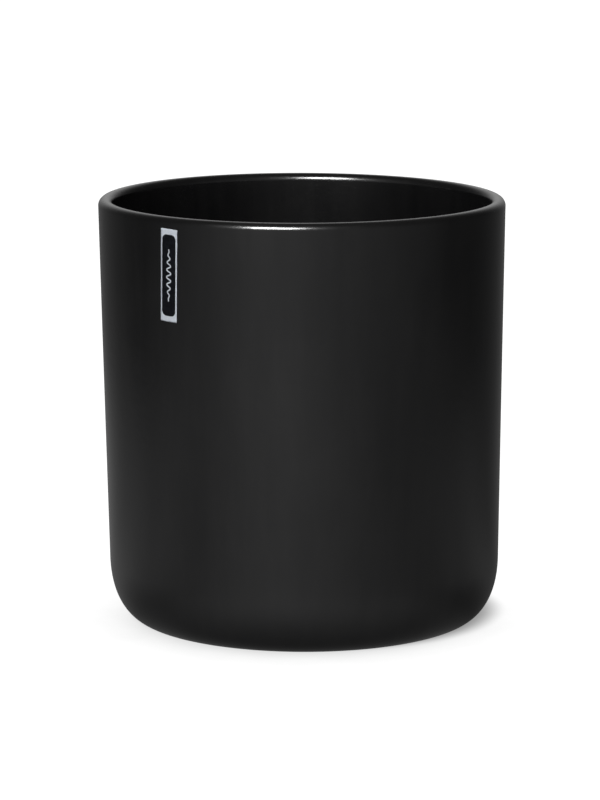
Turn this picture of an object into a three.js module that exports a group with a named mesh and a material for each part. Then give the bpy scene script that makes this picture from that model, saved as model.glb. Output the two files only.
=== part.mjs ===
// A straight-sided stoneware vessel, open at the top, with a full round lip, a soft rounded base and a foot
// ring, and the narrow self-adhesive label on its wall.
// Millimetres, +Z up. The origin is on the ground under the middle of the base, and -Y is the front.
import * as THREE from "three";

// Vessel: outside shape
const HEIGHT = 126.5;
const RIM_RADIUS = 60;
const WALL_TAPER = 2.3; // the wall's line is this much nearer the axis at the ground than at the rim
const WALL_THICKNESS = 4.2;
const LIP_RADIUS = WALL_THICKNESS / 2;
const BASE_CORNER = { width: 12, height: 19, power: 2.2 };

// Vessel: foot ring and the shallow recess that it surrounds
const FOOT_RING_WIDTH = 5;
const RECESS_DEPTH = 1.5;
const RECESS_SLOPE = 1.2; // how far the recess's edge leans in over its depth

// Vessel: inside
const FLOOR_HEIGHT = 6.5;
const INNER_CORNER = { width: 9, height: 12, power: 2 };

// Label: size of the strip, and where its middle is on the wall
const LABEL = { width: 6, height: 26.8, thickness: 0.3, gap: 0.3 };
const LABEL_MIDDLE_HEIGHT = 110.1;
const LABEL_AZIMUTH = THREE.MathUtils.degToRad(-39.2); // from the front, towards -X
const LABEL_TILT = THREE.MathUtils.degToRad(2.2); // put on by hand, a little clockwise

// How finely the round shapes are cut
const TURN_SEGMENTS = 64;
const CORNER_SEGMENTS = 10;
const LIP_SEGMENTS = 14;
const WALL_SEGMENTS = 3;
const LABEL_SEGMENTS = 6;

// Outside radius of the tapered wall at a height.
function wallRadius(height) {
  return RIM_RADIUS - WALL_TAPER * (1 - height / (HEIGHT - LIP_RADIUS));
}

// Quarter of a superellipse from its lowest point to the wall: [radius, height] pairs, the last one on the wall
// line of radius wallAt(height).
function cornerPoints(corner, bottom, wallAt) {
  const points = [];
  for (let i = 0; i <= CORNER_SEGMENTS; i++) {
    const angle = (Math.PI / 2) * (i / CORNER_SEGMENTS);
    const out = Math.pow(Math.sin(angle), 2 / corner.power);
    const down = Math.pow(Math.cos(angle), 2 / corner.power);
    const height = bottom + corner.height * (1 - down);
    points.push([wallAt(height) - corner.width * (1 - out), height]);
  }
  return points;
}

// Half circle over the top of the wall, from the outside to the inside.
function lipPoints() {
  const points = [];
  for (let i = 0; i <= LIP_SEGMENTS; i++) {
    const angle = Math.PI * (i / LIP_SEGMENTS);
    const radius = RIM_RADIUS - LIP_RADIUS + LIP_RADIUS * Math.cos(angle);
    points.push([radius, HEIGHT - LIP_RADIUS + LIP_RADIUS * Math.sin(angle)]);
  }
  return points;
}

// Points strictly between two heights of a wall line.
function wallPoints(from, to, wallAt) {
  const points = [];
  for (let i = 1; i < WALL_SEGMENTS; i++) {
    const height = THREE.MathUtils.lerp(from, to, i / WALL_SEGMENTS);
    points.push([wallAt(height), height]);
  }
  return points;
}

// The vessel's section, from the axis under the base, round the outside and the lip, and back to the axis on
// the inside floor, turned about the axis.
function vesselGeometry() {
  const innerWall = (height) => wallRadius(height) - WALL_THICKNESS;
  const baseCorner = cornerPoints(BASE_CORNER, 0, wallRadius);
  const innerCorner = cornerPoints(INNER_CORNER, FLOOR_HEIGHT, innerWall).reverse();
  const ringInside = baseCorner[0][0] - FOOT_RING_WIDTH;
  const lip = lipPoints();
  const lipHeight = HEIGHT - LIP_RADIUS;
  const section = [
    [0, RECESS_DEPTH],
    [(ringInside - RECESS_SLOPE) / 2, RECESS_DEPTH],
    [ringInside - RECESS_SLOPE, RECESS_DEPTH],
    [ringInside, 0],
    ...baseCorner,
    ...wallPoints(BASE_CORNER.height, lipHeight, wallRadius),
    ...lip,
    ...wallPoints(lipHeight, FLOOR_HEIGHT + INNER_CORNER.height, innerWall),
    ...innerCorner,
    [innerCorner[innerCorner.length - 1][0] / 2, FLOOR_HEIGHT],
    [0, FLOOR_HEIGHT],
  ];
  const points = section.map(([radius, height]) => new THREE.Vector2(radius, height));
  return new THREE.LatheGeometry(points, TURN_SEGMENTS).rotateX(Math.PI / 2);
}

// The label: a strip bent to the wall's curve, standing upright with its middle at the origin of its own frame
// and its face towards -Y.
function labelGeometry() {
  const inside = wallRadius(LABEL_MIDDLE_HEIGHT) + LABEL.gap;
  const outside = inside + LABEL.thickness;
  const halfAngle = LABEL.width / inside / 2;
  const front = -Math.PI / 2;
  const section = new THREE.Shape();
  section.absarc(0, 0, outside, front - halfAngle, front + halfAngle, false);
  section.absarc(0, 0, inside, front + halfAngle, front - halfAngle, true);
  const strip = new THREE.ExtrudeGeometry(section, {
    depth: LABEL.height,
    bevelEnabled: false,
    curveSegments: LABEL_SEGMENTS,
  });
  return strip.translate(0, wallRadius(LABEL_MIDDLE_HEIGHT), -LABEL.height / 2);
}

function vessel() {
  const glaze = new THREE.MeshStandardMaterial({ color: 0x232325, roughness: 0.38, metalness: 0 });
  const mesh = new THREE.Mesh(vesselGeometry(), glaze);
  mesh.name = "vessel_body";
  return mesh;
}

// The label leans with the tapered wall, and its group turns it round the vessel to its place.
function label() {
  const paper = new THREE.MeshStandardMaterial({ color: 0xd6dbe2, roughness: 0.6, metalness: 0 });
  const mesh = new THREE.Mesh(labelGeometry(), paper);
  mesh.name = "label_strip";
  mesh.position.set(0, -wallRadius(LABEL_MIDDLE_HEIGHT), LABEL_MIDDLE_HEIGHT);
  mesh.rotation.x = Math.atan(WALL_TAPER / (HEIGHT - LIP_RADIUS));
  mesh.rotation.y = LABEL_TILT;
  const place = new THREE.Group();
  place.rotation.z = LABEL_AZIMUTH;
  place.add(mesh);
  return place;
}

const object = new THREE.Group();
object.add(vessel());
object.add(label());

export default object;
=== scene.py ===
import bpy
import numpy as np
from mathutils import Matrix, Vector


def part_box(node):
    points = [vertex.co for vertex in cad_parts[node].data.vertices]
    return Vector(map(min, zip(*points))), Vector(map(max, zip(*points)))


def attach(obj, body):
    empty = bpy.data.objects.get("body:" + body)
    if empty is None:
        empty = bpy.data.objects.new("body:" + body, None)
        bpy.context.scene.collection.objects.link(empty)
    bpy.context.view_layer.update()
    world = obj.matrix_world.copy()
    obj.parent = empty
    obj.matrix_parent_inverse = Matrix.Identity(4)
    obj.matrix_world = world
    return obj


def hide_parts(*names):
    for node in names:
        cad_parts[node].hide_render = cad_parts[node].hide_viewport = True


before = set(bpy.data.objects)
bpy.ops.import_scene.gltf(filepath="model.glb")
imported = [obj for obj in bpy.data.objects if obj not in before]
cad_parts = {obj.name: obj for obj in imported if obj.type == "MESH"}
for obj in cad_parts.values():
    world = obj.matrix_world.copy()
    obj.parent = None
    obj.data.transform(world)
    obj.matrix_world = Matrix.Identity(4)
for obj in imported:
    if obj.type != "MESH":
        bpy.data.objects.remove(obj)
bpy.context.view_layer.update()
MM = 0.001


# ---- Vessel --------------------------------------------------------------------------------------
# One slip-cast stoneware pot: a slightly tapered wall with a full round lip, a soft rounded base, a shallow
# recess under the floor and a narrow foot ring. A satin black glaze is fused all over it, inside and out,
# and wiped off the foot ring before firing, so that the bare clay stands on the table.

low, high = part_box("vessel_body")
HEIGHT = high.z
RIM_RADIUS = high.x
WALL_TAPER = 2.3 * MM
WALL_THICKNESS = 4.2 * MM
LIP_RADIUS = WALL_THICKNESS / 2
BASE_CORNER_WIDTH = 12 * MM
BASE_CORNER_HEIGHT = 19 * MM
BASE_CORNER_POWER = 2.2
FOOT_RING_WIDTH = 5 * MM
RECESS_DEPTH = 1.5 * MM
RECESS_SLOPE = 2.2 * MM
FLOOR_HEIGHT = 6.5 * MM
INNER_CORNER_WIDTH = 9 * MM
INNER_CORNER_HEIGHT = 12 * MM
LEAN = 0.0064
COLUMNS = 348


def wall_radius(height):
    """Outside radius of the wall: a straight line from the rim, leaning in towards the ground."""
    return RIM_RADIUS - WALL_TAPER * (1 - height / (HEIGHT - LIP_RADIUS))


def lean(x, height):
    """The vessel warped a little in the kiln: x moves left above the middle of its height and right below."""
    return x - LEAN * (height - HEIGHT / 2)


def vessel_section():
    """The section from the axis under the base, round the outside and the lip, to the inside floor's middle.

    Each stretch is a formula: an S-curve from the recess to the foot ring, a quarter superellipse from the
    ring to the wall, the wall's line, a half circle over the lip, the inner wall a wall's thickness inside
    the outer one, a quarter ellipse and the floor. Each gets as many points as its bend needs. Returns the
    radii and the heights.
    """
    ring_outside = wall_radius(0) - BASE_CORNER_WIDTH
    ring_inside = ring_outside - FOOT_RING_WIDTH
    recess_edge = ring_inside - RECESS_SLOPE
    lip_middle = RIM_RADIUS - LIP_RADIUS
    lip_base = HEIGHT - LIP_RADIUS

    def steps(count):
        """So many numbers from 0, evenly spaced, that stop one step short of 1."""
        return np.arange(count) / count

    out = steps(18)[1:]
    recess = out * recess_edge, np.full(out.size, RECESS_DEPTH)

    out = steps(12)
    slope = recess_edge + RECESS_SLOPE * out, RECESS_DEPTH * (1 - out * out * (3 - 2 * out))

    out = steps(8)
    foot = ring_inside + FOOT_RING_WIDTH * out, np.zeros(out.size)

    turn = steps(44) * np.pi / 2
    flatness = 2 / BASE_CORNER_POWER
    z = BASE_CORNER_HEIGHT * (1 - np.cos(turn) ** flatness)
    corner = wall_radius(z) - BASE_CORNER_WIDTH * (1 - np.sin(turn) ** flatness), z

    z = BASE_CORNER_HEIGHT + (lip_base - BASE_CORNER_HEIGHT) * steps(64)
    wall = wall_radius(z), z

    turn = steps(44) * np.pi
    lip = lip_middle + LIP_RADIUS * np.cos(turn), lip_base + LIP_RADIUS * np.sin(turn)

    inner_top = FLOOR_HEIGHT + INNER_CORNER_HEIGHT
    z = lip_base - (lip_base - inner_top) * steps(52)
    inner_wall = wall_radius(z) - WALL_THICKNESS, z

    turn = steps(22) * np.pi / 2
    z = inner_top - INNER_CORNER_HEIGHT * np.sin(turn)
    inner_corner = wall_radius(z) - WALL_THICKNESS - INNER_CORNER_WIDTH * (1 - np.cos(turn)), z

    floor_radius = wall_radius(FLOOR_HEIGHT) - WALL_THICKNESS - INNER_CORNER_WIDTH
    inward = 1 - steps(20)
    floor = floor_radius * inward, np.full(inward.size, FLOOR_HEIGHT)

    stretches = (recess, slope, foot, corner, wall, lip, inner_wall, inner_corner, floor)
    return np.concatenate([r for r, _ in stretches]), np.concatenate([z for _, z in stretches])


OVAL = 0.10 * MM
BULGE = 0.05 * MM
RIPPLE = 0.03 * MM
RIM_WAVE = 0.06 * MM


def turned_grid(radii, heights):
    """Points of the section turned about the axis, on a grid of section point by column.

    The pot left its mould soft, so the wall is a little oval and unevenly full. The radius gains an oval
    and a ripple that grow with height, with two and five waves round the pot, and a bulge at half height
    with three. None reaches the middle of the base. The rim rises and falls twice round the pot.
    """
    angle = np.arange(COLUMNS) * 2 * np.pi / COLUMNS
    r, z = radii[:, None], heights[:, None]
    up = z / HEIGHT
    oval = OVAL * up * np.cos(2 * angle + 0.7)
    bulge = BULGE * np.sin(np.pi * up) * np.cos(3 * angle + 2.1 + 2 * up)
    ripple = RIPPLE * up * np.cos(5 * angle - 4 * up)
    near_wall = np.clip(r / (RIM_RADIUS / 2) - 0.5, 0, 1)
    r = r + near_wall * (oval + bulge + ripple)
    z = z + RIM_WAVE * up ** 4 * np.cos(2 * angle + 1.9)
    return np.stack([lean(r * np.cos(angle), z), r * np.sin(angle), z * np.ones_like(angle)], axis=-1)


def closed_turning(name, grid, first_pole, last_pole):
    """A mesh of quads between the grid's rings, closed by a fan of triangles at a pole at each end."""
    rings, columns = grid.shape[:2]
    column = np.arange(columns)
    after = (column + 1) % columns
    start = np.arange(rings - 1)[:, None] * columns
    above = start + columns
    quads = np.stack([start + column, start + after, above + after, above + column], axis=-1)
    last = (rings - 1) * columns
    first_fan = np.stack([np.full(columns, rings * columns), after, column], axis=-1)
    last_fan = np.stack([last + column, last + after, np.full(columns, rings * columns + 1)], axis=-1)
    points = np.concatenate([grid.reshape(-1, 3), [first_pole, last_pole]])
    faces = [*quads.reshape(-1, 4).tolist(), *first_fan.tolist(), *last_fan.tolist()]
    mesh = bpy.data.meshes.new(name)
    mesh.from_pydata(points.tolist(), [], faces)
    mesh.shade_smooth()
    piece = bpy.data.objects.new(name, mesh)
    bpy.context.collection.objects.link(piece)
    return piece


class Wire:
    """A shader socket. Sums, products and powers of wires and numbers add Math nodes to its tree."""

    def __init__(self, tree, socket=None):
        self.tree, self.socket = tree, socket

    def node(self, kind, settings=None, inputs=None, output=0):
        """Adds a node of a kind: its settings first, then each input's value or wire, by name or number."""
        made = self.tree.nodes.new(kind)
        for key, value in (settings or {}).items():
            setattr(made, key, value)
        for key, value in (inputs or {}).items():
            if isinstance(value, Wire):
                self.tree.links.new(value.socket, made.inputs[key])
            else:
                made.inputs[key].default_value = value
        return Wire(self.tree, made.outputs[output]) if made.outputs else None

    def math(self, operation, *others):
        return self.node("ShaderNodeMath", {"operation": operation}, dict(enumerate((self, *others))))

    def __add__(self, other):
        return self.math("ADD", other)

    def __sub__(self, other):
        return self.math("SUBTRACT", other)

    def __rsub__(self, other):
        return self.math("MULTIPLY_ADD", -1.0, other)

    def __mul__(self, other):
        return self.math("MULTIPLY", other)

    def __pow__(self, other):
        return self.math("POWER", other)

    __radd__ = __add__
    __rmul__ = __mul__

    def rise(self, start, end):
        """0 below start and 1 above end, smooth between them."""
        ends = {"Value": self, "From Min": start, "From Max": end}
        return self.node("ShaderNodeMapRange", {"interpolation_type": "SMOOTHSTEP"}, ends)

    def part(self, number):
        """One of this vector's numbers: 0, 1 or 2."""
        return self.node("ShaderNodeSeparateXYZ", None, {0: self}, output=number)

    def noise(self, scale, detail=2.0, roughness=0.5):
        """Noise between 0 and 1 over this vector, with about scale features to the metre."""
        inputs = {"Vector": self, "Scale": scale, "Detail": detail, "Roughness": roughness}
        return self.node("ShaderNodeTexNoise", None, inputs)

    def stretched(self, x, y, z):
        """This vector with each of its numbers scaled."""
        return self.node("ShaderNodeMapping", None, {"Vector": self, "Scale": (x, y, z)})

    def mix(self, a, b):
        """Colour a where this is 0 and colour b where it is 1."""
        return self.node("ShaderNodeMix", {"data_type": "RGBA"}, {0: self, 6: a, 7: b}, output=2)


def new_material(name):
    """A material with an empty tree, and a wire to build the tree from."""
    material = bpy.data.materials.new(name)
    material.use_nodes = True
    material.node_tree.nodes.clear()
    return material, Wire(material.node_tree)


DEEP_GLAZE = (0.0045, 0.0045, 0.0048, 1)
THIN_GLAZE = (0.0084, 0.0082, 0.0084, 1)
LIP_GLAZE = (0.0130, 0.0127, 0.0125, 1)
BARE_CLAY = (0.36, 0.31, 0.25, 1)
CLAY_GRIT = (0.20, 0.16, 0.125, 1)
POOLS_PER_METRE = 26
RUNS_PER_METRE = 170
RUN_STRETCH = 0.12
PEEL_PER_METRE = 420
GRAIN_PER_METRE = 2600
PITS_PER_METRE = 230.0
GRIT_PER_METRE = 3200
SHEEN = 0.22
GLAZE_IOR = 1.5
CLAY_DULLNESS = 0.5
PEEL_RELIEF = 0.022
GRAIN_RELIEF = 0.0035
RUN_RELIEF = 0.012
PIT_RELIEF = 0.03
GRIT_RELIEF = 0.05
GLAZE_RELIEF = 0.15


def vessel_material():
    """Satin black glaze with pooling, orange-peel and pinholes, thin on the lip, and clay on the foot ring.

    Each relief is a height in millimetres. The clay is where the glaze was wiped off, with a ragged edge.
    """
    material, tree = new_material("satin_black_glaze")
    place = tree.node("ShaderNodeTexCoord", output=3)
    height = place.part(2)
    from_axis = (place.part(0) ** 2.0 + place.part(1) ** 2.0) ** 0.5

    pooling = place.noise(POOLS_PER_METRE, 3)
    runs = place.stretched(1, 1, RUN_STRETCH).noise(RUNS_PER_METRE, 3, 0.6)
    peel = place.noise(PEEL_PER_METRE, 2)
    grain = place.noise(GRAIN_PER_METRE, 2, 0.6)
    cells = tree.node("ShaderNodeTexVoronoi", None, {"Vector": place, "Scale": PITS_PER_METRE})
    pit = 1 - cells.rise(0.03, 0.09)

    thin = (pooling * 0.6 + runs * 0.4).rise(0.38, 0.68)
    lip = height.rise(HEIGHT - 1.6 * MM, HEIGHT - 0.2 * MM)
    glaze = (lip * 0.7).mix(thin.mix(DEEP_GLAZE, THIN_GLAZE), LIP_GLAZE)

    ring_outside = wall_radius(0) - BASE_CORNER_WIDTH
    ring_inside = ring_outside - FOOT_RING_WIDTH
    ragged = from_axis + (runs - 0.5) * MM
    in_ring = ragged.rise(ring_inside - 0.8 * MM, ring_inside - 0.5 * MM)
    past_ring = ragged.rise(ring_outside + 0.1 * MM, ring_outside + 0.4 * MM)
    wiped = in_ring * (1 - past_ring) * (1 - height.rise(0.5 * MM, 0.8 * MM))
    grit = place.noise(GRIT_PER_METRE, 3, 0.7).rise(0.5, 0.66)
    colour = wiped.mix(glaze, grit.mix(BARE_CLAY, CLAY_GRIT))

    sheen = SHEEN + (pooling - 0.5) * 0.08 + (grain - 0.5) * 0.08 + (runs - 0.5) * 0.04
    relief = peel * PEEL_RELIEF + grain * GRAIN_RELIEF + runs * RUN_RELIEF - pit * PIT_RELIEF
    relief = relief + wiped * (grit * GRIT_RELIEF - GLAZE_RELIEF)
    bump = tree.node("ShaderNodeBump", None, {"Height": relief, "Distance": MM, "Strength": 1.0})
    finish = {
        "Base Color": colour,
        "Roughness": sheen + wiped * CLAY_DULLNESS,
        "Normal": bump,
        "IOR": GLAZE_IOR,
    }
    shader = tree.node("ShaderNodeBsdfPrincipled", None, finish)
    tree.node("ShaderNodeOutputMaterial", None, {"Surface": shader})
    return material


vessel = closed_turning(
    "stoneware_vessel",
    turned_grid(*vessel_section()),
    (lean(0, RECESS_DEPTH), 0, RECESS_DEPTH),
    (lean(0, FLOOR_HEIGHT), 0, FLOOR_HEIGHT),
)
vessel.data.materials.append(vessel_material())
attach(vessel, "root")
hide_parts("vessel_body")


# ---- Label ---------------------------------------------------------------------------------------
# A narrow self-adhesive strip of coated white paper, stuck on by hand near the rim and a little off upright.
# A plain dark field with rounded ends is printed on it, with a fine pale wavy line down its middle.

LABEL_WIDTH = 6.0 * MM
LABEL_HEIGHT = 26.8 * MM
LABEL_THICKNESS = 0.09 * MM
LABEL_LIFT = 0.16 * MM
LABEL_MIDDLE = 109.9 * MM
LABEL_AZIMUTH = np.radians(-90 - 39.4)
LABEL_TILT = np.radians(2.1)
LABEL_CURL = 0.5 * MM


def label_grid(across, along):
    """Points of the strip on the wall: across and along are lengths from its middle.

    The strip is turned by its tilt in the unrolled wall, then rolled onto the tapered wall, at a lift above
    the glaze. At its lower right corner, where the glue has let go, the lift grows as a square.
    """
    side = across * np.cos(LABEL_TILT) + along * np.sin(LABEL_TILT)
    up = along * np.cos(LABEL_TILT) - across * np.sin(LABEL_TILT)
    height = LABEL_MIDDLE + up
    past_glue = np.clip(across / LABEL_WIDTH - along / LABEL_HEIGHT - 0.8, 0, 1)
    radius = wall_radius(height) + LABEL_LIFT + LABEL_CURL * past_glue ** 2
    angle = LABEL_AZIMUTH + side / wall_radius(height)
    return np.stack([lean(radius * np.cos(angle), height), radius * np.sin(angle), height], axis=-1)


def strip_mesh(name, columns, rows):
    """The label's face as a grid with a UV map in millimetres from its middle, then thickened inwards."""
    across, along = np.meshgrid(np.linspace(-0.5, 0.5, columns + 1), np.linspace(-0.5, 0.5, rows + 1))
    across, along = across * LABEL_WIDTH, along * LABEL_HEIGHT
    points = label_grid(across, along).reshape(-1, 3)
    corner = (np.arange(rows)[:, None] * (columns + 1) + np.arange(columns)).reshape(-1, 1)
    faces = corner + np.array([0, 1, columns + 2, columns + 1])
    mesh = bpy.data.meshes.new(name)
    mesh.from_pydata(points.tolist(), [], faces.tolist())
    mesh.shade_smooth()
    flat = np.stack([across, along], axis=-1).reshape(-1, 2) / MM
    mesh.uv_layers.new(name="label_millimetres").data.foreach_set("uv", flat[faces.reshape(-1)].reshape(-1))
    piece = bpy.data.objects.new(name, mesh)
    bpy.context.collection.objects.link(piece)
    wall = piece.modifiers.new("paper_thickness", "SOLIDIFY")
    wall.thickness = LABEL_THICKNESS
    wall.offset = -1
    return piece


PAPER = (0.66, 0.70, 0.76, 1)
PAPER_SHADE = (0.58, 0.62, 0.68, 1)
INK = (0.0020, 0.0023, 0.0040, 1)
WORN_INK = (0.007, 0.008, 0.012, 1)
FIELD_HALF_WIDTH = 2.5
FIELD_HALF_HEIGHT = 11.8
FIELD_CORNER = 1.6
WAVE_HALF_LENGTH = 7.4
WAVE_HEIGHT = 0.75
WAVE_TURNS = 2.9
WAVE_HALF_WIDTH = 0.20
PRINT_EDGE = 0.06
PRINT_RAGGEDNESS = 0.25
LINE_EDGE = 0.05
FIBRES_PER_METRE = 4200
FIBRE_STRETCH = 0.4
MOTTLE_PER_METRE = 1100
PAPER_ROUGHNESS = 0.50
PAPER_SHINE = 0.12


def label_material():
    """Coated paper with a faint fibre, a printed field and a wavy line left unprinted in it.

    Lengths are in millimetres on the strip. The field's edge is the distance to a rounded box. The line is
    the distance to a sine whose height swells from both ends to the middle, and it has round ends.
    """
    material, tree = new_material("printed_label_paper")
    flat = tree.node("ShaderNodeUVMap", {"uv_map": "label_millimetres"})
    across = flat.part(0).math("ABSOLUTE")
    along = flat.part(1).math("ABSOLUTE")
    place = tree.node("ShaderNodeTexCoord", output=3)
    fibre = place.stretched(1, 1, FIBRE_STRETCH).noise(FIBRES_PER_METRE, 3, 0.6)
    mottle = place.noise(MOTTLE_PER_METRE, 3, 0.6)

    past_side = (across - (FIELD_HALF_WIDTH - FIELD_CORNER)).math("MAXIMUM", 0.0)
    past_end = (along - (FIELD_HALF_HEIGHT - FIELD_CORNER)).math("MAXIMUM", 0.0)
    from_field = (past_side ** 2.0 + past_end ** 2.0) ** 0.5 - FIELD_CORNER
    printed = 1 - (from_field + (mottle - 0.5) * PRINT_RAGGEDNESS).rise(-PRINT_EDGE, PRINT_EDGE)

    swell = (1 - (along * (1 / WAVE_HALF_LENGTH)) ** 2.0).math("MAXIMUM", 0.0) * WAVE_HEIGHT
    turn = flat.part(1) * WAVE_TURNS
    off_line = (flat.part(0) - swell * turn.math("SINE")).math("ABSOLUTE")
    slope = swell * turn.math("COSINE") * WAVE_TURNS
    past_line = (along - WAVE_HALF_LENGTH).math("MAXIMUM", 0.0)
    from_line = off_line.math("DIVIDE", (1 + slope * slope) ** 0.5) + past_line
    line = 1 - from_line.rise(WAVE_HALF_WIDTH - LINE_EDGE, WAVE_HALF_WIDTH + LINE_EDGE)
    inked = printed * (1 - line)

    paper = (fibre * 0.6 + mottle * 0.4).rise(0.35, 0.65).mix(PAPER, PAPER_SHADE)
    ink = mottle.rise(0.4, 0.7).mix(INK, WORN_INK)
    relief = fibre * 0.004 + mottle * 0.003 + inked * 0.004
    bump = tree.node("ShaderNodeBump", None, {"Height": relief, "Distance": MM, "Strength": 1.0})
    finish = {
        "Base Color": inked.mix(paper, ink),
        "Roughness": PAPER_ROUGHNESS + (fibre - 0.5) * 0.15 - inked * 0.08,
        "Normal": bump,
        "IOR": 1.5,
        "Specular IOR Level": PAPER_SHINE,
    }
    shader = tree.node("ShaderNodeBsdfPrincipled", None, finish)
    tree.node("ShaderNodeOutputMaterial", None, {"Surface": shader})
    return material


label = strip_mesh("paper_label", 16, 72)
label.data.materials.append(label_material())
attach(label, "root")
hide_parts("label_strip")


# ---- Studio --------------------------------------------------------------------------------------
# A pale glowing table top that runs out to the horizon, two soft boxes on the front left, one that lights
# and one that only shows as a glint, and a dim room with a broad glow in front of the vessel and a bright
# one high behind it.

TABLE_SIZE = 12.0
TABLE_DROP = 0.05 * MM
TABLE_GLOW = 1.06
SHADE_REACH = 28 * MM
SHADE_FLOOR = 0.70
SHADE_GAIN = 0.38
PAINTED_SHADOW_RIGHT = 4 * MM
PAINTED_SHADOW_BACK = 10 * MM
PAINTED_SHADOW_INSIDE = 49 * MM
PAINTED_SHADOW_OUTSIDE = 58 * MM
PAINTED_SHADOW_DARKNESS = 0.6
HALO_GLOW = 0.22
HALO_LEFT = 1.0
HALO_RIGHT = 0.73
HALO_LEFT_BACK = 0.50
HALO_RIGHT_BACK = 0.10
HALO_FRONT = 0.5


def table_material():
    """A pale glow that is all that the eye sees of the table, and a dim halo that is all the glaze mirrors.

    The eye's glow carries painted shade: it is painted darker where the vessel hides the sky, and darker
    again by a painted shadow, a disc a little wider than the foot ring and moved to the right and back, away
    from the soft boxes. The halo is a ring on the table round the vessel, strongest at the left and weakest
    behind at the right, with a small near part in front. Its light is added to the room's, which the table
    lets through to all but the eye.
    """
    material, tree = new_material("pale_table")
    place = tree.node("ShaderNodeTexCoord", output=3)
    away = (place.part(0) ** 2.0 + place.part(1) ** 2.0) ** 0.5
    rightward = place.part(0).math("DIVIDE", away)
    backward = place.part(1).math("DIVIDE", away)
    left = 1 - rightward.rise(-0.5, 0.1)
    back = backward.rise(0.1, 0.6)
    front = 1 - backward.rise(-0.7, -0.2)

    tooth = place.noise(60, 3).rise(0.3, 0.7) * 0.02 + 0.98
    # Painted contact shade: the glow's colour is darkened by how much of the sky the vessel hides.
    sky = tree.node("ShaderNodeAmbientOcclusion", {"samples": 8}, {"Distance": SHADE_REACH}, output="AO")
    # Painted shadow: a disc moved right and back from the axis, away from the soft boxes, darkens the glow.
    from_painted_shadow = ((place.part(0) - PAINTED_SHADOW_RIGHT) ** 2.0 + (place.part(1) - PAINTED_SHADOW_BACK) ** 2.0) ** 0.5
    painted_shadow = 1 - from_painted_shadow.rise(PAINTED_SHADOW_INSIDE, PAINTED_SHADOW_OUTSIDE)
    finish = {
        "Base Color": (0, 0, 0, 1),
        "Specular IOR Level": 0.0,
        "Emission Color": (SHADE_FLOOR + sky * SHADE_GAIN) * tooth * (1 - painted_shadow * PAINTED_SHADOW_DARKNESS),
        "Emission Strength": TABLE_GLOW,
    }
    panel = tree.node("ShaderNodeBsdfPrincipled", None, finish)

    beside = HALO_RIGHT + left * (HALO_LEFT - HALO_RIGHT)
    behind = HALO_RIGHT_BACK + left * (HALO_LEFT_BACK - HALO_RIGHT_BACK)
    level = beside + back * (behind - beside)
    ring = away.rise(0.045 - left * 0.015, 0.15 - left * 0.02) * (1 - away.rise(0.24, 0.56))
    near = 1 - away.rise(0.07, 0.15)
    glow = level * ring * (1 - front) + near * front * HALO_FRONT
    halo = tree.node("ShaderNodeEmission", None, {"Color": glow, "Strength": HALO_GLOW})
    clear = tree.node("ShaderNodeBsdfTransparent")
    mirrored = tree.node("ShaderNodeAddShader", None, {0: halo, 1: clear})

    straight = tree.node("ShaderNodeLightPath", output="Is Camera Ray")
    both = tree.node("ShaderNodeMixShader", None, {0: straight, 1: mirrored, 2: panel})
    tree.node("ShaderNodeOutputMaterial", None, {"Surface": both})
    return material


def table_top():
    """One large square face, just under the foot ring."""
    mesh = bpy.data.meshes.new("table_top")
    side = TABLE_SIZE / 2
    corners = [(-side, -side), (side, -side), (side, side), (-side, side)]
    mesh.from_pydata([(x, y, -TABLE_DROP) for x, y in corners], [], [(0, 1, 2, 3)])
    mesh.materials.append(table_material())
    piece = bpy.data.objects.new("table_top", mesh)
    bpy.context.collection.objects.link(piece)
    return piece


def direction(azimuth, elevation):
    """The unit vector that points azimuth degrees from the front, to the left, and elevation degrees up."""
    a, e = np.radians(azimuth), np.radians(elevation)
    return Vector((-np.sin(a) * np.cos(e), -np.cos(a) * np.cos(e), np.sin(e)))


def soft_box(name, azimuth, elevation, distance, width, height, watts, mirrored):
    """A rectangular area light that looks at the middle of the vessel.

    Either it lights the vessel and isn't mirrored in it, or it is mirrored as a glint and lights nothing.
    """
    lamp = bpy.data.lights.new(name, "AREA")
    lamp.shape = "RECTANGLE"
    lamp.size, lamp.size_y = width, height
    lamp.energy = watts
    piece = bpy.data.objects.new(name, lamp)
    bpy.context.collection.objects.link(piece)
    piece.visible_diffuse = not mirrored
    piece.visible_glossy = mirrored
    towards = direction(azimuth, elevation)
    piece.location = Vector((0, 0, HEIGHT / 2)) + towards * distance
    piece.rotation_euler = towards.to_track_quat("Z", "Y").to_euler()
    return piece


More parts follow.
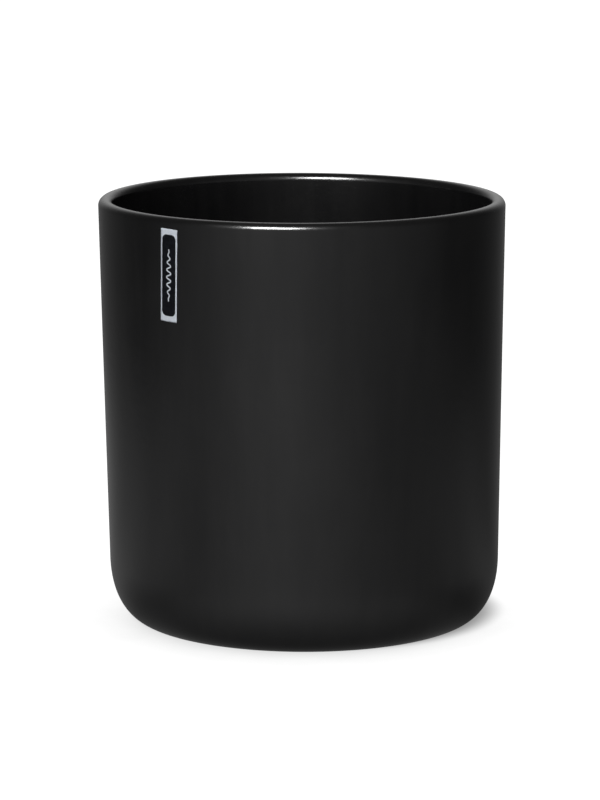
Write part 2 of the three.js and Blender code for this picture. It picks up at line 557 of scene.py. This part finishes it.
def dim_room(base, lobes):
    """World light: an even base, and lobes that fall off as a power of the cosine from their middles.

    Each lobe is its azimuth and elevation, its power and its strength. The eye sees plain white.
    """
    world = bpy.data.worlds.new("dim_room")
    bpy.context.scene.world = world
    world.use_nodes = True
    world.node_tree.nodes.clear()
    tree = Wire(world.node_tree)
    ray = tree.node("ShaderNodeTexCoord")
    glow = base
    for azimuth, elevation, power, strength in lobes:
        middle = {0: ray, 1: direction(azimuth, elevation)}
        towards = tree.node("ShaderNodeVectorMath", {"operation": "DOT_PRODUCT"}, middle, output="Value")
        glow = towards.math("MAXIMUM", 0.0) ** power * strength + glow
    lighting = tree.node("ShaderNodeBackground", None, {"Color": glow})
    seen = tree.node("ShaderNodeBackground", None, {"Color": (1, 1, 1, 1)})
    straight = tree.node("ShaderNodeLightPath", output="Is Camera Ray")
    both = tree.node("ShaderNodeMixShader", None, {0: straight, 1: lighting, 2: seen})
    tree.node("ShaderNodeOutputWorld", None, {"Surface": both})


ROOM_BASE = 0.015
ROOM_LOBES = (
    (10, -8, 1.2, 0.15),
    (10, -8, 6.0, 0.28),
    (50, -8, 4.0, 0.16),
    (-50, -8, 4.0, 0.155),
    (135, -8, 6.0, 0.065),
    (158, -8, 12.0, 0.035),
    (-130, -8, 6.0, 0.045),
    (-158, -8, 12.0, 0.024),
    (180, 22, 12.0, 0.78),
)

table_top()
soft_box("overhead_soft_box", 20, 45, distance=1.6, width=0.60, height=0.60, watts=19, mirrored=False)
soft_box("glint_soft_box", 17, 37, distance=1.6, width=0.66, height=0.56, watts=74, mirrored=True)
dim_room(ROOM_BASE, ROOM_LOBES)

CAMERA_BACK = 1.2
CAMERA_HEIGHT = 0.2811
CAMERA_PITCH = 0.1777
CAMERA_YAW = -0.0008
CAMERA_LENS = 184.3
CAMERA_SENSOR = 36

ahead = Vector((np.sin(CAMERA_YAW), np.cos(CAMERA_YAW), 0))
forward = ahead * np.cos(CAMERA_PITCH) - Vector((0, 0, np.sin(CAMERA_PITCH)))
right = Vector((np.cos(CAMERA_YAW), -np.sin(CAMERA_YAW), 0))
up = right.cross(forward)
camera = bpy.data.objects.new("camera", bpy.data.cameras.new("camera"))
bpy.context.collection.objects.link(camera)
camera.data.lens = CAMERA_LENS
camera.data.sensor_width = CAMERA_SENSOR
camera.data.clip_start, camera.data.clip_end = 0.01, 100
turn = Matrix((right, up, -forward)).transposed()
camera.matrix_world = Matrix.Translation((0, -CAMERA_BACK, CAMERA_HEIGHT)) @ turn.to_4x4()
bpy.context.scene.camera = camera
bpy.context.scene.view_settings.view_transform = "Standard"
